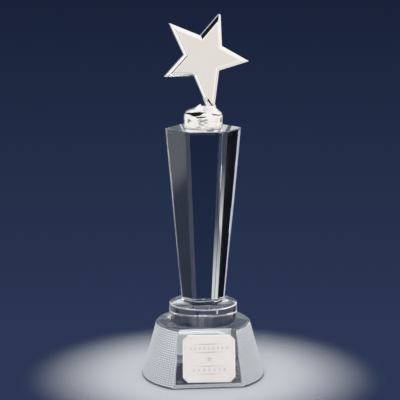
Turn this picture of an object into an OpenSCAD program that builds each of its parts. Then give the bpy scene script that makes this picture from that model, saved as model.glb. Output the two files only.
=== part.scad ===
// Star trophy: a plated star on a swirl foot, on a tapered crystal column, on a pressed crystal base.
// Millimetres, +Z up. The origin is on the tabletop, at the centre of the base. The front faces -Y.

/* [Base] */
// Diameter of the base at its lower edge
base_bottom_d = 92; // [84:1:110]
// Diameter of the base at its upper edge
base_top_d = 70; // [66:1:78]
// Height of the crystal base, without its feet
base_h = 41.5; // [36:0.5:50]
// Width of the sloping facet round the base's upper rim
base_rim_bevel = 1.5; // [0.5:0.1:2]
// Distance from the axis to the flat window, at the base's upper face
window_top_y = 27.6; // [27:0.1:30]
// Distance from the axis to the flat window, at the base's lower face
window_bottom_y = 38.8; // [36:0.1:42]
// Height of the facet under each window
window_foot_h = 3.1; // [1:0.1:5]
// How far the facet under each window leans inwards
window_foot_in = 0.9; // [0.2:0.1:1.5]

/* [Bumper feet] */
// Diameter of each bumper foot
pad_d = 9; // [6:0.5:12]
// Height of each bumper foot
pad_h = 1; // [0.8:0.1:3]
// Distance of each bumper foot from the axis, along X and along Y
pad_xy = 22; // [16:0.5:24]

/* [Riser] */
// Diameter of the round riser disc
riser_d = 50.8; // [44:0.2:52]
// Thickness of the round riser disc
riser_h = 13.6; // [8:0.2:20]
// Width of the polished bevel on both rims of the disc
riser_bevel = 0.8; // [0.3:0.1:2]

/* [Column] */
// Centre to corner of the six-sided column at its foot, before its edges are cut
column_bottom_r = 16.7; // [14:0.1:20]
// Centre to corner of the six-sided column at its top, before its edges are cut
column_top_r = 28.7; // [24:0.1:34]
// Height of the column
column_h = 131; // [100:1:160]
// Width of the polished facet along each of the six long edges
column_facet_w = 3.2; // [1:0.1:5]

/* [Star] */
// Centre to tip of the star's right arm; the other arms are drawn in proportion to it
star_r = 33.3; // [31:0.1:36]
// Thickness of the star
star_t = 7; // [5:0.1:9]
// Width of the sloping bevel round both faces
star_bevel_w = 2.3; // [1:0.1:2.6]
// Depth of that bevel
star_bevel_h = 1.5; // [0.5:0.1:2]
// Height of the star's centre above the column's top
star_rise = 52.1; // [50:0.1:54]
// Offset of the star's centre to the right
star_x = 0.4; // [-1:0.1:1]
// Turn of the star's face to the right, seen from the front, about the upright axis of its stud
star_turn = 4; // [-6:1:8]

/* [Swirl foot] */
// Diameter of the foot
foot_d = 28.4; // [26:0.1:32]
// Height of the foot's upright side
foot_side_h = 8.2; // [7.6:0.1:10]
// Radius of the rounded shoulder above the side
foot_shoulder_r = 4; // [3:0.1:5]
// Offset of the stud from the foot's axis, to the right
neck_x = 5.4; // [4.6:0.1:5.6]

/* [Plaque] */
// Width of the plaque
plaque_w = 38.5; // [28:0.5:39]
// Height of the plaque, up the slope
plaque_h = 34.7; // [24:0.1:34.8]
// Thickness of the plaque
plaque_t = 0.8; // [0.5:0.1:1.5]
// Length cut off each corner
plaque_corner = 3.6; // [1:0.1:6]
// Width of the sloping edge of the plaque
plaque_bevel = 0.6; // [0.2:0.1:0.8]
// Offset of the plaque to the right of the window's centre
plaque_x = 0.8; // [-1:0.1:1]
// Turn of the plaque on the window, clockwise
plaque_tilt = 1; // [-2:0.5:2]

/* [Hidden] */
$fn = 96;

bond_t = 0.15;
tape_t = 0.2;
// Size of the blocks that cut flat faces, and how far the round cutting tools run past what they cut
cut = 400;
over = 1;

// Heights of the faces that the pieces meet at
base_z = pad_h;
riser_bond_z = base_z + base_h;
riser_z = riser_bond_z + bond_t;
column_bond_z = riser_z + riser_h;
column_z = column_bond_z + bond_t;
foot_bond_z = column_z + column_h;
foot_z = foot_bond_z + bond_t;
star_z = foot_bond_z + star_rise;

// Base: lean of its windows from upright, the distance from the axis to the lower edge of the facet under
// them, and the bevel round the base's lower edge
window_lean = atan((window_bottom_y - window_top_y) / base_h);
window_foot_y = window_bottom_y - window_foot_h * tan(window_lean) - window_foot_in;
base_edge = 0.5;

// Bumper feet: how much smaller they are at the tabletop
pad_draft = 0.6;

// Column: depth of the facets that cut its corners, lean of its faces and of those facets from upright, the
// bevel round both ends, and how far the adhesive stops short of its corners
corner_cut = column_facet_w / 2 * tan(30);
column_lean = atan((column_top_r - column_bottom_r) * cos(30) / column_h);
facet_lean = atan((column_top_r - column_bottom_r) / column_h);
column_end_bevel = 0.7;
column_bond_inset = 1.5;

// Foot: the heights are above its own underside
foot_r = foot_d / 2;
foot_edge = 0.4;
foot_bond_inset = 0.6;
foot_crown_r = foot_r - foot_shoulder_r;
foot_shoulder_z = foot_side_h + foot_shoulder_r;
foot_top_z = 14.4;
foot_top_r = 5.5;
neck_top_z = 18.6;
neck_low_r = 4.9;
neck_top_r = 4.2;
neck_offset = 1;
hollow_r = 10;
hollow_z = 8.2;
plate_r = 12;
plate_t = 1.2;
plate_gap = 0.05;

// Corners of the star's outline, counter-clockwise from its root: [angle, distance as a share of star_r].
// The star leans to the left and its arms swing a little, so it isn't quite regular.
star_corners = [
    [-43, 0.45], [-6.5, 1], [30, 0.45], [69.5, 0.975], [100.5, 0.46],
    [136.5, 1.06], [175, 0.45], [206, 0.98], [242, 0.47]
];

// Star root, stud, washer and nut
root_w = 5.4;
root_z = foot_z + 15.8;
stud_r = 1.5;
stud_hole_r = 1.55;
stud_low_z = foot_z + 3.2;
stud_high_z = root_z + 8;
washer_r = 3.5;
washer_t = 0.6;
nut_flats = 5.5;
nut_t = 2.4;

// How far the adhesive sheet stops short of the plaque's edges
tape_margin = 1;

// A point at an angle and a distance
function polar(a, r) = [r * cos(a), r * sin(a)];

// Where two lines meet: each through a point p, with direction d
function meet(p1, d1, p2, d2) =
    let (k = cross(p2 - p1, d2) / cross(d1, d2))
    p1 + k * d1;

function unit(v) = v / norm(v);
function left_of(v) = [-v.y, v.x];

// A closed counter-clockwise outline, moved inwards by w
function inset(points, w) = [
    for (i = [0 : len(points) - 1])
        let (
            n = len(points),
            before = unit(points[i] - points[(i + n - 1) % n]),
            after = unit(points[(i + 1) % n] - points[i])
        )
        meet(points[i] + w * left_of(before), before, points[i] + w * left_of(after), after)
];

// Points of an outline, lifted to one height
function lifted(points, z) = [for (p = points) [p.x, p.y, z]];

// The star's outline about its centre: its lower arm ends in a blunt root, where the corners start
function star_outline() = concat(
    [
        [neck_x - star_x - root_w / 2, root_z - star_z],
        [neck_x - star_x + root_w / 2, root_z - star_z]
    ],
    [for (corner = star_corners) polar(corner[0], corner[1] * star_r)]
);

// A plate built up in rings. Each step is [how far the outline is moved inwards, the ring's height].
// The flat faces at both ends fan out from the middle, so the outline has to be visible from there.
module bevelled_plate(points, steps) {
    n = len(points);
    top = len(steps) - 1;
    rings = [for (step = steps) each lifted(inset(points, step[0]), step[1])];
    lower_middle = len(rings);
    upper_middle = len(rings) + 1;
    middles = [[0, 0, steps[0][1]], [0, 0, steps[top][1]]];
    ends = [
        for (i = [0 : n - 1])
            let (j = (i + 1) % n)
            each [[lower_middle, i, j], [upper_middle, top * n + j, top * n + i]]
    ];
    sides = [
        for (ring = [0 : top - 1])
            for (i = [0 : n - 1])
                let (j = (i + 1) % n)
                [ring * n + i, (ring + 1) * n + i, (ring + 1) * n + j, ring * n + j]
    ];
    polyhedron(concat(rings, middles), concat(ends, sides));
}

// A large block whose lower face passes through the point [0, y, z], leaning back by a from upright.
// Everything in front of that face is inside the block.
module front_block(y, z, a) {
    translate([0, -y, z])
        rotate([90 - a, 0, 0])
            translate([-cut / 2, -cut / 2, 0])
                cube(cut);
}

// Moves a flat shape onto the front window, centred on it
module on_window(lift) {
    translate([0, -(window_top_y + window_bottom_y) / 2, base_z + base_h / 2])
        rotate([90 - window_lean, 0, 0])
            translate([plaque_x, 0, lift])
                rotate(-plaque_tilt)
                    children();
}

// The plaque's outline: a rectangle without its corners
function plaque_outline() =
    let (x = plaque_w / 2, y = plaque_h / 2, c = plaque_corner)
    [
        [c - x, -y], [x - c, -y], [x, c - y], [x, y - c],
        [x - c, y], [c - x, y], [-x, y - c], [-x, c - y]
    ];

// Pressed crystal base with a flat window at the front and at the back
module crystal_base() {
    bottom_r = base_bottom_d / 2;
    top_r = base_top_d / 2;
    rim_r = top_r + base_rim_bevel * (bottom_r - top_r) / base_h;
    color("lightsteelblue", 0.6)
        difference() {
            translate([0, 0, base_z])
                rotate_extrude()
                    polygon([
                        [0, 0], [bottom_r - base_edge, 0], [bottom_r, base_edge],
                        [rim_r, base_h - base_rim_bevel], [top_r - base_rim_bevel, base_h], [0, base_h]
                    ]);
            for (side = [0, 1])
                mirror([0, side, 0]) {
                    front_block(window_bottom_y, base_z, window_lean);
                    front_block(window_foot_y, base_z, -atan(window_foot_in / window_foot_h));
                    front_block(window_top_y - base_rim_bevel / 2, base_z + base_h, 45);
                }
        }
}

// One of the four bumper feet under the base
module foot_pad(side_x, side_y) {
    color("whitesmoke", 0.7)
        translate([side_x * pad_xy, side_y * pad_xy, 0])
            rotate_extrude()
                polygon([[0, 0], [pad_d / 2 - pad_draft, 0], [pad_d / 2, pad_h], [0, pad_h]]);
}

// Adhesive between the base and the riser
module riser_bond() {
    color("white", 0.5)
        translate([0, 0, riser_bond_z])
            cylinder(r = riser_d / 2 - riser_bevel, h = bond_t);
}

// Round crystal riser with bevelled rims
module riser_disc() {
    r = riser_d / 2;
    b = riser_bevel;
    color("lightcyan", 0.5)
        translate([0, 0, riser_z])
            rotate_extrude()
                polygon([[0, 0], [r - b, 0], [r, b], [r, riser_h - b], [r - b, riser_h], [0, riser_h]]);
}

// Adhesive between the riser and the column
module column_bond() {
    color("white", 0.5)
        translate([0, 0, column_bond_z])
            cylinder(r = column_bottom_r - column_bond_inset, h = bond_t, $fn = 6);
}

// Six-sided crystal column, wider at the top, with a facet cut along each long edge
module crystal_column() {
    color("lightcyan", 0.5)
        translate([0, 0, column_z])
            difference() {
                cylinder(r = column_top_r + over, h = column_h, $fn = 6);
                for (i = [0 : 5]) {
                    rotate(60 * i)
                        front_block(column_bottom_r * cos(30), 0, -column_lean);
                    rotate(60 * i + 30)
                        front_block(column_bottom_r - corner_cut, 0, -facet_lean);
                    rotate(60 * i)
                        front_block(column_top_r * cos(30) - column_end_bevel, column_h, 45);
                    rotate(60 * i)
                        front_block(column_bottom_r * cos(30) - column_end_bevel, 0, -45);
                }
            }
}

// Adhesive between the column and the swirl foot
module foot_bond() {
    color("white", 0.5)
        translate([0, 0, foot_bond_z])
            cylinder(r = foot_r - foot_bond_inset, h = bond_t);
}

// Disc that closes the hollow foot
module foot_plate() {
    color("gray")
        translate([0, 0, foot_z])
            cylinder(r = plate_r, h = plate_t);
}

// Hollow cast foot: a drum with a rounded crown and a neck that holds the star's root
module swirl_foot() {
    color("gainsboro")
        difference() {
            translate([0, 0, foot_z]) {
                rotate_extrude()
                    polygon([
                        [0, 0], [foot_r - foot_edge, 0], [foot_r, foot_edge],
                        [foot_r, foot_side_h], [0, foot_side_h]
                    ]);
                rotate_extrude()
                    translate([foot_crown_r, foot_side_h])
                        circle(r = foot_shoulder_r);
                cylinder(r = foot_crown_r, h = foot_shoulder_z);
                translate([0, 0, foot_shoulder_z])
                    cylinder(r1 = foot_crown_r, r2 = foot_top_r, h = foot_top_z - foot_shoulder_z);
                translate([neck_x - neck_offset, 0, foot_side_h])
                    cylinder(r1 = neck_low_r, r2 = neck_top_r, h = neck_top_z - foot_side_h);
            }
            translate([0, 0, foot_z - over])
                cylinder(r = plate_r + plate_gap, h = over + plate_t);
            translate([0, 0, foot_z])
                cylinder(r = hollow_r, h = hollow_z);
            translate([neck_x, 0, foot_z])
                cylinder(r = stud_hole_r, h = neck_top_z);
            star_body();
        }
}

// Washer inside the hollow foot
module stud_washer() {
    color("silver")
        translate([neck_x, 0, foot_z + hollow_z - washer_t])
            difference() {
                cylinder(r = washer_r, h = washer_t);
                translate([0, 0, -over])
                    cylinder(r = stud_hole_r, h = washer_t + 2 * over);
            }
}

// Nut that pulls the star down into the foot
module stud_nut() {
    color("silver")
        translate([neck_x, 0, foot_z + hollow_z - washer_t - nut_t])
            difference() {
                cylinder(r = nut_flats / 2 / cos(30), h = nut_t, $fn = 6);
                translate([0, 0, -over])
                    cylinder(r = stud_r, h = nut_t + 2 * over);
            }
}

// Stud between the star and the nut
module star_stud() {
    color("silver")
        translate([neck_x, 0, stud_low_z])
            cylinder(r = stud_r, h = stud_high_z - stud_low_z);
}

// The star's solid, without the hole for its stud
module star_body() {
    translate([neck_x, 0, 0])
        rotate(star_turn)
            translate([star_x - neck_x, 0, star_z])
                rotate([90, 0, 0])
                    bevelled_plate(star_outline(), [
                        [star_bevel_w, -star_t / 2],
                        [0, star_bevel_h - star_t / 2],
                        [0, star_t / 2 - star_bevel_h],
                        [star_bevel_w, star_t / 2]
                    ]);
}

// Five-pointed star with bevelled edges
module star() {
    color("gainsboro")
        difference() {
            star_body();
            translate([neck_x, 0, root_z - over])
                cylinder(r = stud_r, h = stud_high_z - root_z + over);
        }
}

// Adhesive sheet behind the plaque
module plaque_tape() {
    color("white")
        on_window(0)
            linear_extrude(tape_t)
                polygon(inset(plaque_outline(), tape_margin));
}

// Engraving plate with cut corners
module plaque() {
    color("mistyrose")
        on_window(tape_t)
            bevelled_plate(plaque_outline(), [
                [0, 0],
                [0, plaque_t - plaque_bevel / 2],
                [plaque_bevel, plaque_t]
            ]);
}

crystal_base();
foot_pad(-1, -1);  // foot_pad_1
foot_pad(1, -1);  // foot_pad_2
foot_pad(1, 1);  // foot_pad_3
foot_pad(-1, 1);  // foot_pad_4
riser_bond();
riser_disc();
column_bond();
crystal_column();
foot_bond();
foot_plate();
swirl_foot();
stud_nut();
stud_washer();
star_stud();
star();
plaque_tape();
plaque();
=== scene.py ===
# Looks of the star trophy: pressed crystal base, riser disc and tapered column, with a plated star on a
# swirl foot. Metres, in the CAD frame: +Z up, and the plaque faces -Y.
import math

import bmesh
import bpy
from mathutils import Matrix, Vector


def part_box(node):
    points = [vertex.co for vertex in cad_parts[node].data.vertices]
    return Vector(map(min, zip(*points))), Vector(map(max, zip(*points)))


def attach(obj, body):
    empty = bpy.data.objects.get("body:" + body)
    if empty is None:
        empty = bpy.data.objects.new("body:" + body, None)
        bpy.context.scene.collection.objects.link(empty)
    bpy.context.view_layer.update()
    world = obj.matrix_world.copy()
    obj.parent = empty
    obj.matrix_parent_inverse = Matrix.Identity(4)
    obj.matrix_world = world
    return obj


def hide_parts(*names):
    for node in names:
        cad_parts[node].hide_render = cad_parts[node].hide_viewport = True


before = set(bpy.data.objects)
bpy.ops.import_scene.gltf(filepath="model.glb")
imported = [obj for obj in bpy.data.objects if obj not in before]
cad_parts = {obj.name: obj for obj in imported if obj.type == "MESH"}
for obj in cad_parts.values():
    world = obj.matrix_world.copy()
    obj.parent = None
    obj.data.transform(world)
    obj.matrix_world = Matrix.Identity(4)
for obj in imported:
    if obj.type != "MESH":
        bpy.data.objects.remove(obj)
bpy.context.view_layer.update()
MM = 0.001

# Neighbouring clear pieces reach this far into each other, so that light crosses the joint as it does
# through wet glue
LAP = 0.02 * MM
CRYSTAL_IOR = 1.52

# Light crosses many clear faces on its way through the crystal
CRYSTAL_BOUNCES = 28
MIRROR_BOUNCES = 10

scene = bpy.context.scene
scene.view_settings.view_transform = "Standard"
scene.cycles.max_bounces = CRYSTAL_BOUNCES
scene.cycles.transmission_bounces = CRYSTAL_BOUNCES
scene.cycles.glossy_bounces = MIRROR_BOUNCES
scene.cycles.use_denoising = True


# ---------------------------------------------------------------- camera

# Focal length and sensor width in mm
LENS = 117
SENSOR = 36

# Where the camera stands: its distance from the point that it looks at, the turn to the left of the front
# in degrees, and the degrees over level
DISTANCE = 0.962
CAMERA_TURN = 5.9
CAMERA_RISE = 10.35

# The point that it looks at: its height, and how far it is to the left of the axis
AIM_HEIGHT = 0.13357
AIM_LEFT = 2.34 * MM


def add_camera():
    """The camera, at the photograph's viewing angle."""
    turn, rise = math.radians(CAMERA_TURN), math.radians(CAMERA_RISE)
    left = Vector((-math.cos(turn), math.sin(turn), 0))
    back = Vector((-math.sin(turn) * math.cos(rise), -math.cos(turn) * math.cos(rise), math.sin(rise)))
    camera = bpy.data.objects.new("camera", bpy.data.cameras.new("camera"))
    camera.data.lens = LENS
    camera.data.sensor_width = SENSOR
    camera.location = left * AIM_LEFT + Vector((0, 0, AIM_HEIGHT)) + back * DISTANCE
    camera.rotation_mode = "QUATERNION"
    camera.rotation_quaternion = (-back).to_track_quat("-Z", "Y")
    scene.collection.objects.link(camera)
    scene.camera = camera


# ---------------------------------------------------------------- materials

class Nodes:
    """A node tree under construction. Socket values that are sockets themselves are linked."""

    def __init__(self, tree):
        self.tree = tree

    def add(self, kind, values=None, **settings):
        node = self.tree.nodes.new(kind)
        for name, value in settings.items():
            setattr(node, name, value)
        for socket, value in (values or {}).items():
            self.set(node, socket, value)
        return node

    def set(self, node, socket, value):
        """Colours are given as three numbers."""
        if isinstance(value, bpy.types.NodeSocket):
            self.tree.links.new(value, node.inputs[socket])
        elif node.inputs[socket].type == "RGBA":
            node.inputs[socket].default_value = (*value, 1)
        else:
            node.inputs[socket].default_value = value

    def math(self, operation, a, b=0.0):
        return self.add("ShaderNodeMath", {0: a, 1: b}, operation=operation).outputs[0]

    def remap(self, value, low, high, to_low=0.0, to_high=1.0, smooth=False):
        kind = "SMOOTHSTEP" if smooth else "LINEAR"
        values = {"Value": value, "From Min": low, "From Max": high, "To Min": to_low, "To Max": to_high}
        return self.add("ShaderNodeMapRange", values, interpolation_type=kind).outputs[0]

    def mix(self, factor, a, b):
        """A colour between a and b. The sockets before 6 are for other kinds of value."""
        return self.add("ShaderNodeMix", {0: factor, 6: a, 7: b}, data_type="RGBA").outputs[2]

    def noise(self, scale, detail, roughness=0.5, stretch=(1, 1, 1)):
        """Noise over object coordinates. scale is in patches per metre, times stretch on each axis."""
        place = self.add("ShaderNodeTexCoord").outputs["Object"]
        mapped = self.add("ShaderNodeMapping", {"Vector": place, "Scale": stretch}).outputs[0]
        values = {"Vector": mapped, "Scale": scale, "Detail": detail, "Roughness": roughness}
        return self.add("ShaderNodeTexNoise", values).outputs[0]

    def bump(self, shader, height, strength, depth):
        """Fine relief on a shader's surface."""
        values = {"Height": height, "Strength": strength, "Distance": depth}
        self.set(shader, "Normal", self.add("ShaderNodeBump", values).outputs[0])


def principled(name, color, **values):
    """A material, its nodes and its Principled shader. Underscores in the names of values are spaces."""
    material = bpy.data.materials.new(name)
    material.use_nodes = True
    nodes = Nodes(material.node_tree)
    shader = material.node_tree.nodes["Principled BSDF"]
    nodes.set(shader, "Base Color", color)
    for socket, value in values.items():
        nodes.set(shader, socket.replace("_", " "), value)
    return material, nodes, shader


def crystal(name, color, rough_low, rough_high, ripple):
    """Clear crystal: faint uneven polish and a slow ripple in the surface."""
    material, nodes, shader = principled(name, color, IOR=CRYSTAL_IOR, Transmission_Weight=1.0)
    polish = nodes.noise(900, 3)
    nodes.set(shader, "Roughness", nodes.remap(polish, 0.4, 0.7, rough_low, rough_high))
    wave = nodes.noise(90, 1, stretch=(1, 1, 0.6))
    nodes.bump(shader, wave, ripple, 0.2 * MM)
    return material


def lattice_crystal():
    """Pressed crystal as the mould left it: a soft bloom on each diamond, and painted shade in the grooves,
    which are coloured grey-blue.
    """
    material, nodes, shader = principled(
        "lattice_crystal", (0.96, 0.975, 0.985), IOR=CRYSTAL_IOR, Transmission_Weight=0.46)
    groove = nodes.add("ShaderNodeAttribute", attribute_name="groove").outputs["Fac"]
    bloom = nodes.noise(260, 3)
    tint = nodes.mix(nodes.remap(bloom, 0.35, 0.65), (0.94, 0.955, 0.97), (0.99, 0.995, 1.0))
    # Painted shade: the grooves are coloured grey-blue, darker than the diamonds
    deep = nodes.remap(groove, 0.45, 0.85, smooth=True)
    nodes.set(shader, "Base Color", nodes.mix(deep, tint, (0.42, 0.46, 0.52)))
    nodes.set(shader, "Roughness", nodes.remap(groove, 0.3, 1.0, 0.12, 0.3))
    return material


def ground_crystal():
    """Crystal ground to a fine white frost."""
    material, nodes, shader = principled(
        "ground_crystal", (0.93, 0.95, 0.96), IOR=CRYSTAL_IOR, Transmission_Weight=0.55)
    grit = nodes.noise(1500, 4, 0.7)
    nodes.set(shader, "Roughness", nodes.remap(grit, 0.3, 0.7, 0.25, 0.5))
    nodes.bump(shader, grit, 0.25, 0.03 * MM)
    return material


def bright_plate(name, rough_low, rough_high):
    """Silver plating on a polished casting: a trace of haze, slow waves, and painted shade in the folds,
    coloured near-black.
    """
    material, nodes, shader = principled(name, (0.94, 0.925, 0.91), Metallic=1.0)
    haze = nodes.noise(700, 4, 0.6)
    fold = nodes.add("ShaderNodeAttribute", attribute_name="fold").outputs["Fac"]
    # Painted shade: the fold layer, loosened by the haze, turns the plating near-black where the casting
    # folds deeply and inside the ribbon's lip
    edge = nodes.math("ADD", fold, nodes.remap(haze, 0.3, 0.7, -0.08, 0.08))
    painted_fold_shade = nodes.remap(edge, 0.4, 0.62, smooth=True)
    nodes.set(shader, "Base Color", nodes.mix(painted_fold_shade, (0.94, 0.925, 0.91), (0.022, 0.02, 0.019)))
    clean = nodes.remap(haze, 0.35, 0.75, rough_low, rough_high)
    nodes.set(shader, "Roughness", nodes.math("ADD", clean, nodes.math("MULTIPLY", painted_fold_shade, 0.3)))
    wave = nodes.noise(160, 1)
    nodes.bump(shader, wave, 0.1, 0.15 * MM)
    return material


def satin_plate():
    """Satin engraving plate: fine brushing from side to side, with a slight pink cast."""
    material, nodes, shader = principled("satin_plate", (0.905, 0.86, 0.848), Metallic=1.0)
    brushing = nodes.noise(8, 3, 0.65, stretch=(30, 900, 900))
    patches = nodes.noise(60, 2)
    nodes.set(shader, "Roughness", nodes.remap(brushing, 0.3, 0.7, 0.34, 0.5))
    tint = nodes.mix(nodes.remap(patches, 0.35, 0.7), (0.93, 0.885, 0.87), (0.88, 0.84, 0.825))
    nodes.set(shader, "Base Color", tint)
    nodes.bump(shader, brushing, 0.12, 0.03 * MM)
    return material


def engraved_plate():
    """The engraver's cuts: bare, dull metal with the tool's chatter."""
    material, nodes, shader = principled("engraved_plate", (0.79, 0.74, 0.725), Metallic=1.0)
    chatter = nodes.noise(2500, 3, 0.6)
    tint = nodes.mix(nodes.remap(chatter, 0.3, 0.7), (0.74, 0.69, 0.675), (0.84, 0.79, 0.775))
    nodes.set(shader, "Base Color", tint)
    nodes.set(shader, "Roughness", nodes.remap(chatter, 0.3, 0.7, 0.4, 0.6))
    return material


def steel():
    """Zinc-plated steel: cloudy grey, with patches of duller plating."""
    material, nodes, shader = principled("steel", (0.6, 0.6, 0.61), Metallic=1.0)
    cloud = nodes.noise(500, 4, 0.6)
    tint = nodes.mix(nodes.remap(cloud, 0.3, 0.7), (0.52, 0.52, 0.53), (0.68, 0.68, 0.7))
    nodes.set(shader, "Base Color", tint)
    nodes.set(shader, "Roughness", nodes.remap(cloud, 0.3, 0.7, 0.22, 0.4))
    return material


def foam_tape():
    """White adhesive foam, with fine open cells."""
    material, nodes, shader = principled("foam_tape", (0.85, 0.85, 0.84), Roughness=0.8)
    cells = nodes.noise(3000, 3)
    tint = nodes.mix(nodes.remap(cells, 0.3, 0.7), (0.8, 0.8, 0.79), (0.88, 0.88, 0.87))
    nodes.set(shader, "Base Color", tint)
    nodes.bump(shader, cells, 0.3, 0.05 * MM)
    return material


def clear_rubber():
    """Soft clear bumper: hazy, with a slightly yellow-grey body."""
    material, nodes, shader = principled(
        "clear_rubber", (0.82, 0.84, 0.84), IOR=1.49, Transmission_Weight=0.85)
    haze = nodes.noise(1200, 2)
    nodes.set(shader, "Roughness", nodes.remap(haze, 0.3, 0.7, 0.2, 0.35))
    return material


MATERIALS = {
    "crystal": crystal("crystal", (0.965, 0.985, 0.985), 0.0, 0.012, 0.05),
    "pressed_crystal": crystal("pressed_crystal", (0.96, 0.975, 0.98), 0.02, 0.06, 0.1),
    "lattice_crystal": lattice_crystal(),
    "ground_crystal": ground_crystal(),
    "clear_adhesive": crystal("clear_adhesive", (0.985, 0.99, 0.985), 0.0, 0.02, 0.0),
    "bright_plate": bright_plate("bright_plate", 0.03, 0.085),
    "cast_plate": bright_plate("cast_plate", 0.14, 0.26),
    "satin_plate": satin_plate(),
    "engraved_plate": engraved_plate(),
    "steel": steel(),
    "foam_tape": foam_tape(),
    "clear_rubber": clear_rubber(),
}


# ---------------------------------------------------------------- mesh helpers

# Tolerances. Corners closer than WELD are one, and so are faces within FLAT_ANGLE of each other. Corners
# within LEVEL of a height are at that height. TINY is too small to be seen.
WELD = 0.002 * MM
FLAT_ANGLE = math.radians(0.3)
LEVEL = 0.05 * MM
TINY = 0.0001 * MM


def add_piece(name, mesh, slot, node, smooth_angle=0, materials=()):
    """Makes an object of a finished bmesh, rides it on the body, and hides the CAD node that it stands for.

    The faces' material indices pick from materials, or else every face takes the slot's material.
    """
    bmesh.ops.recalc_face_normals(mesh, faces=mesh.faces)
    data = bpy.data.meshes.new(name)
    mesh.to_mesh(data)
    mesh.free()
    for material in materials or (slot,):
        data.materials.append(MATERIALS[material])
    if smooth_angle:
        data.shade_smooth()
        data.set_sharp_from_angle(angle=math.radians(smooth_angle))
    piece = bpy.data.objects.new(name, data)
    scene.collection.objects.link(piece)
    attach(piece, "root")
    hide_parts(node)
    return piece


def cad_mesh(node):
    """A copy of a CAD node's mesh, with its flat faces whole again."""
    mesh = bmesh.new()
    mesh.from_mesh(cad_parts[node].data)
    bmesh.ops.remove_doubles(mesh, verts=mesh.verts, dist=WELD)
    bmesh.ops.dissolve_limit(mesh, angle_limit=FLAT_ANGLE, verts=mesh.verts, edges=mesh.edges)
    return mesh


def cad_radius(node, height):
    """The largest distance from the axis of a CAD node's corners at a height."""
    corners = [v.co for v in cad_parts[node].data.vertices]
    return max(c.xy.length for c in corners if abs(c.z - height) < LEVEL)


def loft(rings, joined=False):
    """A bmesh through rings of equal length. Its ends are capped, or the last ring joins the first one."""
    mesh = bmesh.new()
    made = [[mesh.verts.new(point) for point in ring] for ring in rings]
    count = len(made[0])
    pairs = list(zip(made, made[1:]))
    if joined:
        pairs.append((made[-1], made[0]))
    for lower, upper in pairs:
        for i in range(count):
            j = (i + 1) % count
            mesh.faces.new((lower[i], lower[j], upper[j], upper[i]))
    if not joined:
        mesh.faces.new(made[0][::-1])
        mesh.faces.new(made[-1])
    return mesh


def circle(radius, height, count, centre=(0, 0)):
    """Points of a level circle."""
    turns = [2 * math.pi * i / count for i in range(count)]
    return [(centre[0] + radius * math.cos(t), centre[1] + radius * math.sin(t), height) for t in turns]


def rounded(points, radii, steps):
    """A closed 2D outline with each corner turned into an arc of its own radius, in steps pieces."""
    soft = []
    count = len(points)
    for i in range(count):
        corner, radius = Vector(points[i]), radii[i]
        before = (Vector(points[i - 1]) - corner).normalized()
        after = (Vector(points[(i + 1) % count]) - corner).normalized()
        half = before.angle(after) / 2
        reach = radius / math.tan(half)
        middle = corner + (before + after).normalized() * (radius / math.sin(half))
        start, end = corner + before * reach - middle, corner + after * reach - middle
        sweep = start.angle_signed(end)
        soft += [middle + Matrix.Rotation(-sweep * k / steps, 2) @ start for k in range(steps + 1)]
    return soft


def softened(points, radii, steps):
    """An open 2D line with its inner corners turned into arcs, in steps pieces."""
    line = rounded(points, [TINY, *radii, TINY], steps)
    return [Vector(points[0]), *line[steps + 1:-steps - 1], Vector(points[-1])]


def cut_flat(mesh, point, normal, material):
    """Cuts away what lies in front of a plane and closes the cut."""
    everything = mesh.verts[:] + mesh.edges[:] + mesh.faces[:]
    cut = bmesh.ops.bisect_plane(
        mesh, geom=everything, dist=TINY, plane_co=point, plane_no=normal, clear_outer=True)
    edges = [e for e in cut["geom_cut"] if isinstance(e, bmesh.types.BMEdge)]
    filled = bmesh.ops.holes_fill(mesh, edges=edges, sides=0)
    for face in filled["faces"]:
        face.material_index = material
    bmesh.ops.triangulate(mesh, faces=filled["faces"])


def subtracted(mesh, tool):
    """The first bmesh without the second one."""
    objects = []
    for source in (mesh, tool):
        data = bpy.data.meshes.new("cutting")
        source.to_mesh(data)
        source.free()
        objects.append(bpy.data.objects.new("cutting", data))
        scene.collection.objects.link(objects[-1])
    modifier = objects[0].modifiers.new("cut", "BOOLEAN")
    modifier.operation = "DIFFERENCE"
    modifier.solver = "EXACT"
    modifier.object = objects[1]
    result = bmesh.new()
    result.from_object(objects[0], bpy.context.evaluated_depsgraph_get())
    for used in objects:
        bpy.data.objects.remove(used)
    return result


# ---------------------------------------------------------------- crystal pieces

DIAMONDS_ROUND = 116
DIAMOND_ROWS = 25
DIAMOND_H = 0.45 * MM

# Heights of the CAD base's bevels, at its top and its bottom
BASE_RIM = 1.5 * MM
BASE_EDGE = 0.5 * MM

# Material indices on the base
POLISHED, LATTICE, GROUND = 0, 1, 2

COLUMN_EDGE = 0.2 * MM

# Height of the CAD disc's bevels, the radius that softens their edges, and the points round the disc
RISER_BEVEL = 0.8 * MM
RISER_EDGE_R = 0.2 * MM
RISER_COUNT = 288

# Shape of a bumper foot, in shares of its radius and its height: the flat that it stands on, the start of
# its dome, how far the dome widens, and the dome's height
PAD_FLAT = 0.55
PAD_DOME = 0.72
PAD_SWELL = 0.27
PAD_DOME_H = 0.85
PAD_STEPS = 8


def base_planes():
    """A point and the normal of each flat facet at the front and the back of the CAD base."""
    planes = {}
    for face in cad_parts["crystal_base"].data.polygons:
        aside, forward, up = face.normal
        if abs(aside) < 0.002 and abs(forward) > 0.05:
            normal = Vector((0, forward, up)).normalized()
            planes.setdefault((round(forward, 2), round(up, 2)), (face.center.copy(), normal))
    return list(planes.values())


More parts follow.
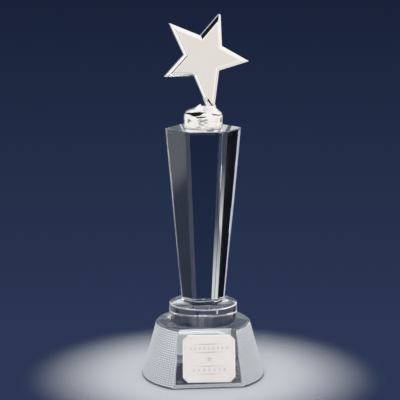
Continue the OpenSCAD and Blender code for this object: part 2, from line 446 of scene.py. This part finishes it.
def crystal_base():
    """Pressed base: a cone of small four-sided pyramids between grooves, with flat polished windows."""
    low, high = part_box("crystal_base")
    bottom, top = low.z + BASE_EDGE, high.z - BASE_RIM
    bottom_r, top_r = cad_radius("crystal_base", bottom), cad_radius("crystal_base", top)
    mesh = bmesh.new()
    # The groove layer marks the grooves, which the lattice material darkens as painted shade
    groove = mesh.verts.layers.float.new("groove")

    def ring(radius, height, deep, shift=0.0):
        """One vertex for each diamond, shifted round by a share of a diamond."""
        made = []
        for i in range(DIAMONDS_ROUND):
            turn = 2 * math.pi * (i + shift) / DIAMONDS_ROUND
            made.append(mesh.verts.new((radius * math.cos(turn), radius * math.sin(turn), height)))
            made[-1][groove] = deep
        return made

    def at(share):
        return bottom_r + (top_r - bottom_r) * share, bottom + (top - bottom) * share

    def across(lower, upper):
        for i in range(DIAMONDS_ROUND):
            k = (i + 1) % DIAMONDS_ROUND
            mesh.faces.new((lower[i], lower[k], upper[k], upper[i])).material_index = POLISHED

    grooves = []
    for j in range(DIAMOND_ROWS + 1):
        radius, height = at(j / DIAMOND_ROWS)
        grooves.append(ring(radius - DIAMOND_H, height, 1.0))
    for j in range(DIAMOND_ROWS):
        radius, height = at((j + 0.5) / DIAMOND_ROWS)
        tips = ring(radius, height, 0.0, 0.5)
        lower, upper = grooves[j], grooves[j + 1]
        for i, tip in enumerate(tips):
            k = (i + 1) % DIAMONDS_ROUND
            square = (lower[i], lower[k], upper[k], upper[i])
            for a, b in zip(square, square[1:] + square[:1]):
                mesh.faces.new((a, b, tip)).material_index = LATTICE
    for row, radius, height, flat_r, flat_z in (
        (grooves[0], bottom_r, bottom, bottom_r - BASE_EDGE, low.z),
        (grooves[-1], top_r, top, cad_radius("crystal_base", high.z), high.z),
    ):
        rim = ring(radius, height, 0.0)
        end = ring(flat_r, flat_z, 0.0)
        across(row, rim)
        across(rim, end)
        mesh.faces.new(end)
    bmesh.ops.recalc_face_normals(mesh, faces=mesh.faces)
    for point, normal in base_planes():
        cut_flat(mesh, point, normal, GROUND if normal.z < 0 else POLISHED)
    add_piece("pressed_crystal_base", mesh, "pressed_crystal", "crystal_base",
              materials=("pressed_crystal", "lattice_crystal", "ground_crystal"))


def crystal_column():
    """The column, with the sharpness just taken off its ground edges."""
    mesh = cad_mesh("crystal_column")
    bmesh.ops.bevel(mesh, geom=mesh.edges[:], offset=COLUMN_EDGE, offset_type="OFFSET",
                    segments=2, profile=0.5, affect="EDGES")
    add_piece("cut_crystal_column", mesh, "crystal", "crystal_column")


def riser_disc():
    """The round disc between base and column, turned from a profile with softened bevels."""
    low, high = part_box("riser_disc")
    radius, flat_r = cad_radius("riser_disc", low.z + RISER_BEVEL), cad_radius("riser_disc", low.z)
    bevel = radius - flat_r
    corners = [
        (flat_r - MM, low.z), (flat_r, low.z), (radius, low.z + bevel),
        (radius, high.z - bevel), (flat_r, high.z), (flat_r - MM, high.z),
    ]
    profile = softened(corners, [RISER_EDGE_R] * 4, 3)
    mesh = loft([circle(p.x, p.y, RISER_COUNT) for p in profile])
    add_piece("crystal_riser_disc", mesh, "crystal", "riser_disc", smooth_angle=20)


def bond(node):
    """A clear layer of glue that wets the pieces above and below it."""
    mesh = cad_mesh(node)
    low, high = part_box(node)
    middle = (low.z + high.z) / 2
    for vert in mesh.verts:
        vert.co.z += LAP if vert.co.z > middle else -LAP
    add_piece("clear_" + node, mesh, "clear_adhesive", node)


def bumper(number):
    """A domed clear bumper foot, pressed onto the underside of the base."""
    node = f"foot_pad_{number}"
    low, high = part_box(node)
    centre = ((low.x + high.x) / 2, (low.y + high.y) / 2)
    radius, height = (high.x - low.x) / 2, high.z - low.z
    profile = [(PAD_FLAT * radius, 0)]
    for k in range(PAD_STEPS + 1):
        turn = math.pi / 2 * k / PAD_STEPS
        wide = radius * (PAD_DOME + PAD_SWELL * math.sin(turn))
        profile.append((wide, height * PAD_DOME_H * (1 - math.cos(turn))))
    profile.append((radius, high.z + LAP))
    mesh = loft([circle(r, z, 64, centre) for r, z in profile])
    add_piece(f"bumper_foot_{number}", mesh, "clear_rubber", node, smooth_angle=40)


# ---------------------------------------------------------------- plates with bevelled edges

def inset(outline, widths):
    """A closed counter-clockwise 2D outline, with the edge after each corner moved in by its own width."""
    moved = []
    count = len(outline)
    for i, corner in enumerate(outline):
        before = (corner - outline[i - 1]).normalized()
        after = (outline[(i + 1) % count] - corner).normalized()
        left, right = Vector((-before.y, before.x)), Vector((-after.y, after.x))
        a, b = widths[i - 1], widths[i]
        reach = Vector((a * right.y - b * left.y, b * left.x - a * right.x))
        moved.append(corner + reach / left.cross(right))
    return moved


class Plate:
    """A CAD plate with a bevelled front. Its own frame has X to the right, Y up and Z out of the front."""

    def __init__(self, node):
        mesh = cad_mesh(node)
        front = max((f for f in mesh.faces if f.normal.y < -0.5), key=lambda f: f.calc_area())
        out = front.normal.copy()
        up = (Vector((0, 0, 1)) - out * out.z).normalized()
        turn = Matrix((up.cross(out), up, out)).transposed().to_4x4()
        self.matrix = Matrix.Translation(front.calc_center_median()) @ turn
        inverse = self.matrix.inverted()
        rim = []
        for loop in front.loops:
            edge = next(e for e in loop.vert.link_edges if front not in e.link_faces)
            rim.append(inverse @ edge.other_vert(loop.vert).co)
        face = [inverse @ v.co for v in front.verts]
        self.outline = [p.xy for p in rim]
        self.bevel_h = -rim[0].z
        along = (rim[1].xy - rim[0].xy).normalized()
        self.bevel_w = along.cross(face[0].xy - rim[0].xy)
        self.thickness = -min((inverse @ v.co).z for v in mesh.verts)
        mesh.free()

    def placed(self, outline, depth):
        """2D points of the plate, placed in space at a depth under its front face."""
        return [self.matrix @ Vector((p.x, p.y, -depth)) for p in outline]


# The star's radii: at its tips, in the notches between its arms, at its blunt top tip, along the sides'
# edges, and where the bevels meet the faces
STAR_TIP_R = 0.15 * MM
STAR_NOTCH_R = 0.3 * MM
STAR_BLUNT_R = 0.9 * MM
STAR_ARRIS_R = 0.3 * MM
STAR_FACE_R = 2.6 * MM

# How far the last ring of each face lies inside the bevel
STAR_FACE_RING = 0.8 * MM

# How many times wider the bevel on the left of the top arm is
WIDE_BEVEL = 1.2


def star():
    """Plated star. Its bevels run into the faces and the sides over polished, rounded edges.

    The top arm's tip is blunt, and the bevel on that arm's left is wider than the others.
    """
    plate = Plate("star")
    count = len(plate.outline)
    top = max(range(count), key=lambda i: plate.outline[i].y)
    tip = plate.outline[top]
    sides = [(plate.outline[(top + step) % count] - tip).normalized() for step in (-1, 1)]
    half = sides[0].angle(sides[1]) / 2
    outline = list(plate.outline)
    outline[top] = tip - (sides[0] + sides[1]).normalized() * STAR_BLUNT_R * (1 / math.sin(half) - 1)
    width, height, thickness = plate.bevel_w, plate.bevel_h, plate.thickness
    inner = width + STAR_FACE_RING
    corners = [
        (inner, 0), (width, 0), (0, height),
        (0, thickness - height), (width, thickness), (inner, thickness),
    ]
    rings = []
    for p in softened(corners, [STAR_FACE_R, STAR_ARRIS_R, STAR_ARRIS_R, STAR_FACE_R], 6):
        widths = [p.x * (WIDE_BEVEL if i == top else 1) for i in range(count)]
        radii = []
        for i, corner in enumerate(outline):
            before, after = corner - outline[i - 1], outline[(i + 1) % count] - corner
            radii.append(STAR_TIP_R if before.cross(after) > 0 else STAR_NOTCH_R)
        radii[top] = max(STAR_BLUNT_R - p.x, STAR_TIP_R)
        rings.append(plate.placed(rounded(inset(outline, widths), radii, 4), p.y))
    mesh = loft(rings)
    low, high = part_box("star_stud")
    stud = loft([circle((high.x - low.x) / 2, z, 48, ((low.x + high.x) / 2, 0)) for z in (low.z, high.z)])
    for each in (mesh, stud):
        bmesh.ops.recalc_face_normals(each, faces=each.faces)
    piece = add_piece("plated_star", subtracted(mesh, stud), "bright_plate", "star", smooth_angle=35)
    piece.modifiers.new("even_faces", "WEIGHTED_NORMAL").keep_sharp = True


ENGRAVING_DEPTH = 0.35 * MM
ABOVE_FACE = 0.05 * MM

# The beaded bands, as (height of the middle, half width, number of beads). A rule runs RULE_GAP above and
# below the beads of a band, which take up BEADED of its width.
BANDS = ((7.6 * MM, 15.5 * MM, 9), (-8.2 * MM, 13 * MM, 7))
RULE_GAP = 2.9 * MM
RULE_HALF = 0.3 * MM
BEADED = 0.86
BEAD_W = 1.1 * MM
BEAD_H = 1.7 * MM

# The small star between the bands, and the height of its middle
ORNAMENT_R = 3 * MM
ORNAMENT_NOTCH_R = 1.3 * MM
ORNAMENT_Y = -0.3 * MM

# The plaque's radii: at its outline's corners, where the bevel meets the face, and along its outer edge
PLAQUE_CORNER_R = 0.2 * MM
PLAQUE_FACE_R = 0.15 * MM
PLAQUE_EDGE_R = 0.08 * MM
PLAQUE_FACE_RING = 0.5 * MM

# The engraving keeps this far from the bevel, and the middles of its faces are deeper than SCRATCH
ENGRAVING_MARGIN = 0.3 * MM
SCRATCH = 0.01 * MM

# Material indices on the plaque, and the cosines between which a face leans as its bevel does
BEVEL, ENGRAVED = 1, 2
LEAN_LOW, LEAN_HIGH = 0.1, 0.97

TAPE_CORNER_R = 0.5 * MM


def engraving_tool(plate):
    """What the engraver takes out: two beaded bands with a small star between them."""
    tool = bmesh.new()

    def sink(outline):
        """A pointed hollow with this outline, from just above the face downwards."""
        middle = sum((Vector(p) for p in outline), Vector((0, 0))) / len(outline)
        rim = [tool.verts.new(plate.matrix @ Vector((p[0], p[1], ABOVE_FACE))) for p in outline]
        bottom = tool.verts.new(plate.matrix @ Vector((middle.x, middle.y, -ENGRAVING_DEPTH)))
        tool.faces.new(rim)
        for i, vert in enumerate(rim):
            tool.faces.new((rim[i - 1], bottom, vert))

    def diamond(x, y, half_width, half_height):
        sink([(x - half_width, y), (x, y - half_height), (x + half_width, y), (x, y + half_height)])

    for middle, half_width, beads in BANDS:
        for side in (-1, 1):
            diamond(0, middle + side * RULE_GAP, half_width, RULE_HALF)
        for k in range(beads):
            diamond(half_width * BEADED * (2 * k / (beads - 1) - 1), middle, BEAD_W, BEAD_H)
    points = []
    for k in range(10):
        turn, radius = math.pi / 2 + math.pi * k / 5, (ORNAMENT_R, ORNAMENT_NOTCH_R)[k % 2]
        points.append((radius * math.cos(turn), radius * math.sin(turn) + ORNAMENT_Y))
    sink(points)
    bmesh.ops.recalc_face_normals(tool, faces=tool.faces)
    return tool


def plaque():
    """Engraving plate: bright bevel, satin face, and a plain engraved ornament in place of wording."""
    plate = Plate("plaque")
    width, height, thickness = plate.bevel_w, plate.bevel_h, plate.thickness
    corners = [(width + PLAQUE_FACE_RING, 0), (width, 0), (0, height), (0, thickness)]
    count = len(plate.outline)
    rings = []
    for p in softened(corners, [PLAQUE_FACE_R, PLAQUE_EDGE_R], 3):
        outline = rounded(inset(plate.outline, [p.x] * count), [PLAQUE_CORNER_R] * count, 2)
        rings.append(plate.placed(outline, p.y))
    mesh = loft(rings)
    bmesh.ops.recalc_face_normals(mesh, faces=mesh.faces)
    mesh = subtracted(mesh, engraving_tool(plate))
    inverse = plate.matrix.inverted()
    out = Vector(plate.matrix.col[2][:3])
    half_w, half_h = (max(p[axis] for p in plate.outline) - width - ENGRAVING_MARGIN for axis in (0, 1))
    for face in mesh.faces:
        place = inverse @ face.calc_center_median()
        if abs(place.x) < half_w and abs(place.y) < half_h and -ENGRAVING_DEPTH < place.z < -SCRATCH:
            face.material_index = ENGRAVED
        elif LEAN_LOW < face.normal.dot(out) < LEAN_HIGH:
            face.material_index = BEVEL
    piece = add_piece("engraving_plate", mesh, "satin_plate", "plaque", smooth_angle=25,
                      materials=("satin_plate", "bright_plate", "engraved_plate"))
    piece.modifiers.new("even_faces", "WEIGHTED_NORMAL").keep_sharp = True


def plaque_tape():
    """Foam tape behind the plaque, sunk a trace into the crystal as if wetting it."""
    mesh = cad_mesh("plaque_tape")
    back = max((f for f in mesh.faces if f.normal.y > 0.5), key=lambda f: f.calc_area())
    inwards = back.normal * LAP
    for vert in back.verts:
        vert.co += inwards
    corners = [e for e in mesh.edges if e.calc_length() < MM]
    bmesh.ops.bevel(mesh, geom=corners, offset=TAPE_CORNER_R, segments=3, profile=0.5, affect="EDGES")
    add_piece("plaque_foam_tape", mesh, "foam_tape", "plaque_tape")


# ---------------------------------------------------------------- swirl foot

# Points round the foot
FOOT_COUNT = 240

# How square the section of the star's lower arm is: 2 is an ellipse, and more is squarer
SQUARENESS = 4

# The drum's hollow, the gap round the stud and the foot plate, and the dip of the star's seat at the stud
HOLLOW_R = 10 * MM
CLEARANCE = 0.05 * MM
SEAT_DIP = 0.02 * MM


def spline(p, q, r, s, t):
    """A point of the smooth curve through p, q, r and s, at a share t of the way from q to r."""
    bend = (2 * p - 5 * q + 4 * r - s) * t * t
    return 0.5 * (2 * q + (r - p) * t + bend + (3 * q - p - 3 * r + s) * t ** 3)


def spline_rings(controls, steps):
    """Rings along smooth curves through the points of the control rings."""
    rings = []
    padded = [controls[0], *controls, controls[-1]]
    for nearby in zip(padded, padded[1:], padded[2:], padded[3:]):
        for step in range(steps):
            rings.append([spline(*points, step / steps) for points in zip(*nearby)])
    rings.append(controls[-1])
    return rings


def bell(value, middle, width):
    """A smooth bump: 1 at the middle, fading over the width."""
    return math.exp(-((value - middle) / width) ** 2)


# Depth from which a fold is painted fully dark as painted shade, in mm
FULL_FOLD = 0.8

# Folds are cut below this height, in mm
FOLDS_TOP = 14

# The small fin on the left of the crown: its turn and half width in degrees, then how far it rises and
# how far it draws in, in mm
FIN_TURN = 196
FIN_HALF = 19
FIN_RISE = 1.7
FIN_DRAW = 1.1

# The crown swells upwards on the left: the turn and half width in degrees, the height in mm from which it
# does so, and the rise for each mm above that
SWELL_TURN = 205
SWELL_HALF = 60
SWELL_FROM = 10
SWELL_RATE = 0.2

# The ribbon, in mm: its foot and the low end of its rim over the star's root, how far the rim rises
# from there, the height of the inside that shows over its lip and is painted dark as painted shade, and the
# least height under the inside
RIBBON_FOOT = 0.2
RIM_LOW = 1.1
RIM_RISE = 5.1
LIP_H = 2.4
RIBBON_LEAST = 0.3

# The ribbon's wall, in mm: at the foot and the top of the inside that is painted dark, and down to the
# star's root
INSIDE_LOW_WALL = 0.34
INSIDE_TOP_WALL = 0.26
ROOT_WALL = 0.12

# How far the rim's rounded top drops on its two sides, in mm
RIM_DROP = 0.06

# The folds in the casting, as (turn, height, depth, half width) along each one: degrees from +X, then mm
SHOULDER_FOLD = [
    (0, 9.9, 0.35, 0.35), (70, 10.3, 0.6, 0.5), (120, 10.4, 0.7, 0.5), (180, 10.9, 0.6, 0.35),
    (216, 11.1, 1.3, 0.6), (236, 10.9, 2.0, 1.15), (251, 11.3, 1.8, 1.1), (266, 12.1, 0.6, 0.35),
    (285, 12.0, 0.25, 0.3), (300, 10.5, 0.9, 0.42), (328, 9.7, 0.6, 0.32), (360, 9.9, 0.35, 0.35),
]
FRONT_FOLDS = [
    [(236, 9.2, 0, 0.3), (248, 8.8, 0.8, 0.45), (264, 8.9, 0.7, 0.45), (282, 9.6, 0, 0.3)],
    [(246, 6.6, 0, 0.3), (256, 6.2, 0.6, 0.4), (268, 6.3, 0.6, 0.4), (280, 6.8, 0, 0.3)],
    [(250, 3.7, 0, 0.3), (258, 3.4, 0.45, 0.35), (270, 3.7, 0, 0.3)],
    [(86, 7.6, 0, 0.3), (104, 7.0, 0.7, 0.45), (126, 7.4, 0, 0.3)],
]


def along(fold, turn):
    """Height, depth and half width of a fold at a turn, or None past its ends."""
    for before, after in zip(fold, fold[1:]):
        if before[0] <= turn <= after[0]:
            share = (turn - before[0]) / (after[0] - before[0])
            share = share * share * (3 - 2 * share)
            return [a + (b - a) * share for a, b in zip(before[1:], after[1:])]
    return None


def swirl_groove(turn, height):
    """Depth of the casting's folds, at a turn in degrees from +X and a height over its underside. In mm."""
    groove = 0
    for fold in (SHOULDER_FOLD, *FRONT_FOLDS):
        place = along(fold, turn)
        if place:
            middle, depth, half = place
            groove += depth * bell(height, middle, half)
    return groove


def ripple(turn, height):
    """Slow hand-polished waves in the drum and flow lines in the crown, in mm."""
    a = math.radians(turn)
    drum = 0.06 * math.cos(9 * a + 0.9 * height) * math.cos(1.5 * height + 2 * a) * bell(height, 5, 4.5)
    crown = 0.16 * math.cos(5 * a + 2.6 * height) * bell(height, 14.2, 1.6)
    return drum + crown


def eased(value, start, end):
    """0 before the start and 1 after the end, smoothly."""
    share = min(max((value - start) / (end - start), 0), 1)
    return share * share * (3 - 2 * share)


def swirl_foot():
    """Cast foot: a hollow drum whose crown twists up into a ribbon round the star's root."""
    low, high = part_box("swirl_foot")
    plate_low, plate_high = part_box("foot_plate")
    stud_low, stud_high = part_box("star_stud")
    washer_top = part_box("stud_washer")[1].z
    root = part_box("star")[0].z
    ribbon_foot = root + RIBBON_FOOT * MM
    star_plate = Plate("star")
    stud_x, stud_r = (stud_low.x + stud_high.x) / 2, (stud_high.x - stud_low.x) / 2 + CLEARANCE
    turned = Matrix.Rotation(math.atan2(star_plate.matrix[0][2], -star_plate.matrix[1][2]), 3, "Z")
    turns = [2 * math.pi * i / FOOT_COUNT for i in range(FOOT_COUNT)]
    star_edge = star_plate.outline
    count = len(star_edge)
    lowest = sorted(range(count), key=lambda i: star_edge[i].y)[:2]
    left, right = sorted(lowest, key=lambda i: star_edge[i].x)
    left_line = (star_edge[left], star_edge[left - 1])
    right_line = (star_edge[right], star_edge[(right + 1) % count])
    middle = star_plate.matrix.inverted() @ Vector((stud_x, 0, root))

    def edge_x(line, height):
        """Where the star's left or right edge is from the stud, at a height over its root."""
        start, end = line
        return start.x + (end.x - start.x) * height / (end.y - start.y) - middle.x

    def section(turn, height, wall):
        """A point of the star arm's rounded section, grown by a wall."""
        over = max(height - root, 0)
        x_low, x_high = edge_x(left_line, over) - wall, edge_x(right_line, over) + wall
        deep = star_plate.thickness / 2 + wall
        half = (x_high - x_low) / 2
        c, s = math.cos(turn), math.sin(turn)
        reach = (abs(c / half) ** SQUARENESS + abs(s / deep) ** SQUARENESS) ** (-1 / SQUARENESS)
        place = turned @ Vector((x_low + half + reach * c, reach * s, 0))
        return Vector((stud_x + place.x, place.y, height))

    def rim_height(turn):
        """The ribbon's upper edge: high on the left, running down across the front and the back."""
        degrees = math.degrees(turn)
        share = eased(degrees, 112, 170) * (1 - eased(degrees, 240, 290))
        return root + (RIM_LOW + RIM_RISE * share) * MM

    def lip(turn):
        """How much of the ribbon's edge stands off the star's face, from 0 to 1."""
        degrees = math.degrees(turn)
        return eased(degrees, 234, 250) * (1 - eased(degrees, 280, 296))

    def band(turn):
        """Height of the inside that shows over the lip, painted dark as painted shade."""
        return min(LIP_H * lip(turn) * MM, rim_height(turn) - ribbon_foot - RIBBON_LEAST * MM)

    def ribbon(share, wall, lip_wall):
        """A ring at a share of the ribbon's height, with a thicker wall at its lip."""
        made = []
        for turn in turns:
            top = rim_height(turn) - band(turn)
            height = ribbon_foot + share * (top - ribbon_foot)
            made.append(section(turn, height, (wall + lip_wall * lip(turn)) * MM))
        return made

    def oval(centre, ring_radius, height, fin):
        """A ring of the drum or the crown, in mm. fin is its share of the small fin on the left."""
        points = []
        for turn in turns:
            bump = fin * bell(math.degrees(turn), FIN_TURN, FIN_HALF)
            swell = SWELL_RATE * max(height - SWELL_FROM, 0)
            r = (ring_radius - FIN_DRAW * bump) * MM
            lift = FIN_RISE * bump + swell * bell(math.degrees(turn), SWELL_TURN, SWELL_HALF)
            points.append(Vector((
                centre * MM + r * math.cos(turn), r * math.sin(turn), low.z + (height + lift) * MM)))
        return points

    side = (high.x - low.x) / 2 / MM
    outer = [
        oval(0, side - 0.4, 0, 0), oval(0, side - 0.1, 0.15, 0), oval(0, side, 0.6, 0),
        oval(0, side, 2.6, 0), oval(0, side - 0.15, 4.6, 0), oval(0, side, 6.6, 0), oval(0, side, 8.4, 0),
        oval(0, side - 0.5, 10.4, 0), oval(0.1, side - 1.6, 11.8, 0), oval(0.5, side - 3.4, 12.9, 0),
        oval(1.6, 8.6, 13.8, 0.1), oval(2.4, 7.3, 14.4, 0.7), oval(3.0, 6.5, 14.8, 1),
        oval(3.5, 6.0, 14.8, 0.4), oval(3.9, 5.6, 15.2, 0),
        ribbon(0.05, 0.8, 0.7), ribbon(0.4, 0.6, 0.9), ribbon(0.8, 0.5, 0.9), ribbon(0.96, 0.45, 0.85),
        ribbon(1, 0.36, 0.7),
    ]
    rings = spline_rings(outer, 8)
    fold_shade = []
    for ring in rings:
        depths = []
        for turn, point in zip(turns, ring):
            degrees, height = math.degrees(turn), (point.z - low.z) / MM
            depth = swirl_groove(degrees, height) if height < FOLDS_TOP else 0
            point -= Vector((math.cos(turn), math.sin(turn), 0)) * (depth + ripple(degrees, height)) * MM
            depths.append(depth / FULL_FOLD)
        fold_shade.append(depths)
    drop = RIM_DROP * MM
    rings.append([section(t, rim_height(t) - (band(t) + drop), INSIDE_LOW_WALL * MM) for t in turns])
    rings.append([section(t, rim_height(t), INSIDE_TOP_WALL * MM) for t in turns])
    # Painted shade: the inside over the lip takes the lip's share, which the plating paints near-black
    fold_shade += [[lip(t) for t in turns]] * 2
    rings.append([section(t, rim_height(t) - drop, ROOT_WALL * MM) for t in turns])
    rings.append([section(t, root, ROOT_WALL * MM) for t in turns])
    gap_r = (plate_high.x - plate_low.x) / 2 + CLEARANCE
    for ring_r, height, centre_x in (
        (stud_r, root - SEAT_DIP, stud_x), (stud_r, washer_top, stud_x),
        (HOLLOW_R, washer_top, 0), (HOLLOW_R, plate_high.z, 0),
        (gap_r, plate_high.z, 0), (gap_r, low.z, 0),
    ):
        rings.append(circle(ring_r, height, FOOT_COUNT, (centre_x, 0)))
    fold_shade += [[0] * FOOT_COUNT] * (len(rings) - len(fold_shade))
    mesh = loft(rings, joined=True)
    # Each corner's share of painted shade in the folds, which the plating's colour reads
    layer = mesh.verts.layers.float.new("fold")
    for vert, fold in zip(mesh.verts, (fold for ring in fold_shade for fold in ring)):
        vert[layer] = fold
    add_piece("plated_swirl_foot", mesh, "bright_plate", "swirl_foot", smooth_angle=50,
              materials=("cast_plate",))


def hardware():
    """The steel pieces inside the foot keep their CAD shapes."""
    for node in ("foot_plate", "stud_washer", "stud_nut", "star_stud"):
        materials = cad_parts[node].data.materials
        materials.clear()
        materials.append(MATERIALS["steel"])


# ---------------------------------------------------------------- stage

# The floor is solid out to FLOOR_SOLID_R, and has faded away at FLOOR_CLEAR_R: a painted pool of light,
# where the fade into the dark backdrop stands in for light falling off
FLOOR_R = 0.7
FLOOR_SOLID_R = 0.05
FLOOR_CLEAR_R = 0.14


def add_floor():
    """A plain pale floor, round and fading out: a painted pool of light, where the fade stands in for light
    falling off. The crystal doesn't show it: the panels stand in for it.
    """
    mesh = bmesh.new()
    bmesh.ops.create_circle(mesh, cap_ends=True, segments=96, radius=FLOOR_R)
    data = bpy.data.meshes.new("floor")
    mesh.to_mesh(data)
    mesh.free()
    material, nodes, shader = principled("floor", (0.41, 0.425, 0.46), Roughness=0.6)
    place = nodes.add("ShaderNodeTexCoord").outputs["Object"]
    distance = nodes.add("ShaderNodeVectorMath", {0: place}, operation="LENGTH").outputs["Value"]
    light_pool_fade = nodes.remap(distance, FLOOR_SOLID_R, FLOOR_CLEAR_R, smooth=True)
    clear = nodes.add("ShaderNodeBsdfTransparent")
    both = nodes.add("ShaderNodeMixShader", {0: light_pool_fade, 1: shader.outputs[0], 2: clear.outputs[0]})
    nodes.set(material.node_tree.nodes["Material Output"], "Surface", both.outputs[0])
    data.materials.append(material)
    floor = bpy.data.objects.new("floor", data)
    floor.visible_transmission = False
    scene.collection.objects.link(floor)


def towards(azimuth, elevation):
    """Unit vector. Azimuth 0 is away from the camera's side, along +Y, and 90 is along +X."""
    a, e = math.radians(azimuth), math.radians(elevation)
    return (math.sin(a) * math.cos(e), math.cos(a) * math.cos(e), math.sin(e))


# The backdrop's colours, low down and higher up
SLATE = (0.024, 0.038, 0.09)
NIGHT = (0.008, 0.0135, 0.036)

# Soft panels that are seen through the crystal, as (azimuth, elevation, where it is full, where it has
# faded out, colour). All angles are in degrees, and the last two are from the panel's middle. Where panels
# overlap, the later one is in front.
SEEN_PANELS = (
    (48, 2, 16, 24, (0.03, 0.036, 0.058)),
    (80, 32, 12, 20, (0.2, 0.2, 0.21)),
    (-42, 0, 12, 22, (0.004, 0.005, 0.008)),
    (112, 10, 24, 32, (0.32, 0.33, 0.35)),
    (-112, 10, 24, 32, (0.74, 0.8, 0.95)),
    (12, -33, 9, 13.5, (0.38, 0.4, 0.43)),
    (0, -82, 12, 18, (0.7, 0.72, 0.74)),
    (90, 26, 13, 20, (1.1, 1.1, 1.1)),
    (-90, 26, 13, 20, (1.1, 1.1, 1.1)),
)

# The same for what is mirrored. The black panels are the dark reflections in the plating.
GREY = (0.8, 0.77, 0.745)
BLACK = (0.008, 0.01, 0.016)
MIRRORED_PANELS = (
    (100, -18, 10, 14, GREY),
    (167, -6, 9, 15, (0.81, 0.775, 0.745)),
    (-155, 27, 12, 15, BLACK),
    (0, 0, 26, 34, (0.26, 0.275, 0.31)),
    (174, -20, 7, 10, BLACK),
    (51, -14, 9, 12, BLACK),
    (-76, -29, 18, 19, BLACK),
    (80, 22, 5, 8, (0.35, 0.35, 0.35)),
    (-98, 28, 6, 9, (0.35, 0.35, 0.35)),
)

# Upright strips, as (azimuth, half width in degrees, sines of the elevations of its lower and upper ends,
# colour)
SEEN_STRIPS = (
    (-10.68, 0.32, -0.4, -0.08, (0.62, 0.64, 0.64)),
    (-11.4, 0.9, -0.4, -0.12, (0.62, 0.64, 0.64)),
)
MIRRORED_STRIPS = ((-155, 5, -0.5, 0.05, (0.13, 0.13, 0.14)),)

# How far a strip's ends fade, as a sine
STRIP_FADE = 0.03


def add_world():
    """A plain navy backdrop for the camera, and the soft panels of the studio.

    Rays that pass through the crystal see the backdrop behind one set of panels, and pale ground low at the
    front. Rays that bounce off a surface see a pale room with its own panels, which lights matt things too.
    """
    world = bpy.data.worlds.new("studio")
    world.use_nodes = True
    scene.world = world
    nodes = Nodes(world.node_tree)
    direction = nodes.add("ShaderNodeTexCoord").outputs["Generated"]
    parts = nodes.add("ShaderNodeSeparateXYZ", {0: direction}).outputs
    depth, height = parts[1], parts[2]

    def facing(azimuth, elevation):
        """The cosine of the angle between the ray and a direction."""
        return nodes.add("ShaderNodeVectorMath", {0: direction, 1: towards(azimuth, elevation)},
                         operation="DOT_PRODUCT").outputs["Value"]

    def panel(azimuth, elevation, full, faded):
        start, end = math.cos(math.radians(faded)), math.cos(math.radians(full))
        return nodes.remap(facing(azimuth, elevation), start, end, smooth=True)

    def strip(azimuth, half, low, high):
        offset = nodes.math("ABSOLUTE", facing(azimuth + 90, 0))
        edge = math.sin(math.radians(half))
        inside = nodes.remap(offset, edge * 1.15, edge * 0.85, smooth=True)
        inside = nodes.math("MULTIPLY", inside, nodes.math("GREATER_THAN", facing(azimuth, 0), 0))
        above = nodes.remap(height, low - STRIP_FADE, low + STRIP_FADE, smooth=True)
        below = nodes.remap(height, high + STRIP_FADE, high - STRIP_FADE, smooth=True)
        return nodes.math("MULTIPLY", nodes.math("MULTIPLY", inside, above), below)

    def layered(color, panels, strips):
        """A colour behind panels and strips."""
        for shape, rows in ((panel, panels), (strip, strips)):
            for *place, own_color in rows:
                color = nodes.mix(shape(*place), color, own_color)
        return color

    backdrop = nodes.mix(nodes.remap(height, -0.28, 0.0), SLATE, NIGHT)
    seen = nodes.mix(nodes.remap(height, 0.4, 0.8, smooth=True), backdrop, (0.34, 0.345, 0.355))
    front = nodes.remap(depth, 0.05, -0.1, smooth=True)
    low_down = nodes.remap(height, -0.5, -0.58, smooth=True)
    seen = nodes.mix(nodes.math("MULTIPLY", front, low_down), seen, (1.0, 1.01, 1.03))
    seen = layered(seen, SEEN_PANELS, SEEN_STRIPS)
    mirrored = nodes.mix(nodes.remap(height, 0.0, 0.7, smooth=True), (0.95, 0.94, 0.93), (1.0, 1.0, 1.0))
    mirrored = nodes.mix(nodes.remap(height, -0.55, -0.8, smooth=True), mirrored, GREY)
    mirrored = layered(mirrored, MIRRORED_PANELS, MIRRORED_STRIPS)
    path = nodes.add("ShaderNodeLightPath").outputs
    bounced = nodes.mix(path["Is Reflection Ray"], seen, mirrored)
    background = world.node_tree.nodes["Background"]
    nodes.set(background, "Color", nodes.mix(path["Is Camera Ray"], bounced, backdrop))


# The lamp: its size and distance in metres, where it stands in degrees, and its power in watts
LAMP_SIZE = 0.7
LAMP_DISTANCE = 1.1
LAMP_AZIMUTH = -168
LAMP_ELEVATION = 50
LAMP_POWER = 10.5


def add_lamp():
    """One square soft light, aimed at the middle of the object. The plating doesn't mirror it."""
    light = bpy.data.lights.new("key", "AREA")
    light.size = LAMP_SIZE
    light.energy = LAMP_POWER
    lamp = bpy.data.objects.new("key", light)
    away = Vector(towards(LAMP_AZIMUTH, LAMP_ELEVATION))
    lamp.location = Vector((0, 0, AIM_HEIGHT)) + away * LAMP_DISTANCE
    lamp.rotation_mode = "QUATERNION"
    lamp.rotation_quaternion = away.to_track_quat("Z", "Y")
    lamp.visible_camera = False
    lamp.visible_glossy = False
    scene.collection.objects.link(lamp)


add_camera()
add_floor()
add_world()
add_lamp()

crystal_base()
riser_disc()
crystal_column()
for node in ("riser_bond", "column_bond", "foot_bond"):
    bond(node)
for number in (1, 2, 3, 4):
    bumper(number)
star()
swirl_foot()
hardware()
plaque_tape()
plaque()
